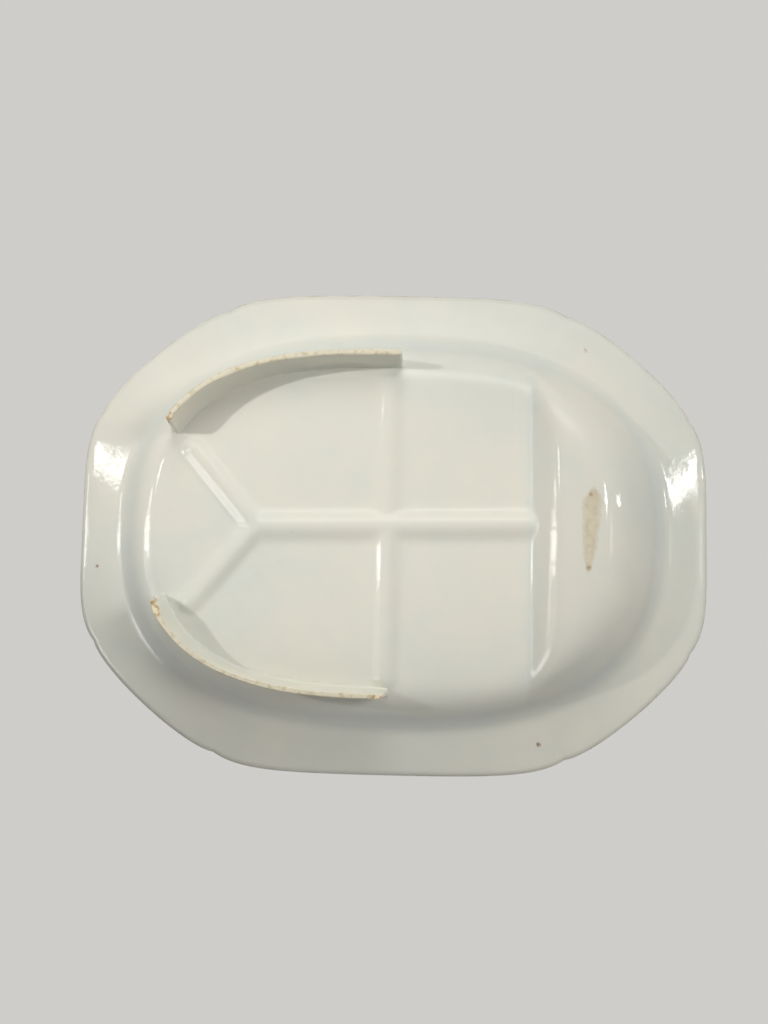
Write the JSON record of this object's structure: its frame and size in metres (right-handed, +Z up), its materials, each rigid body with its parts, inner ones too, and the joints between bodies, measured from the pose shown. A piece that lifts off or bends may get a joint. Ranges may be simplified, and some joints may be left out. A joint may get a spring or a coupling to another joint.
{
  "type": "well-and-tree platter",
  "caption": "Long octagonal meat platter with juice channels draining into a gravy well, standing on curved foot strips and on the bottom of the well.",
  "frame": {"origin": "centre of the bounding box at its bottom, on the table", "axes": "+X along the long axis towards the gravy well, +Y across the platter towards the rear foot strip, +Z up out of the face"},
  "size_m": [0.52, 0.4, 0.06],
  "materials": {
    "dish_glaze": "clear glossy glaze on white earthenware, faintly blue where it pools",
    "strip_glaze": "glossy glaze, wiped bare and worn on the lip"
  },
  "bodies": {
    "root": {"dish": "dish_glaze", "foot_strip_front": "strip_glaze", "foot_strip_rear": "strip_glaze"}
  },
  "joints": []
}
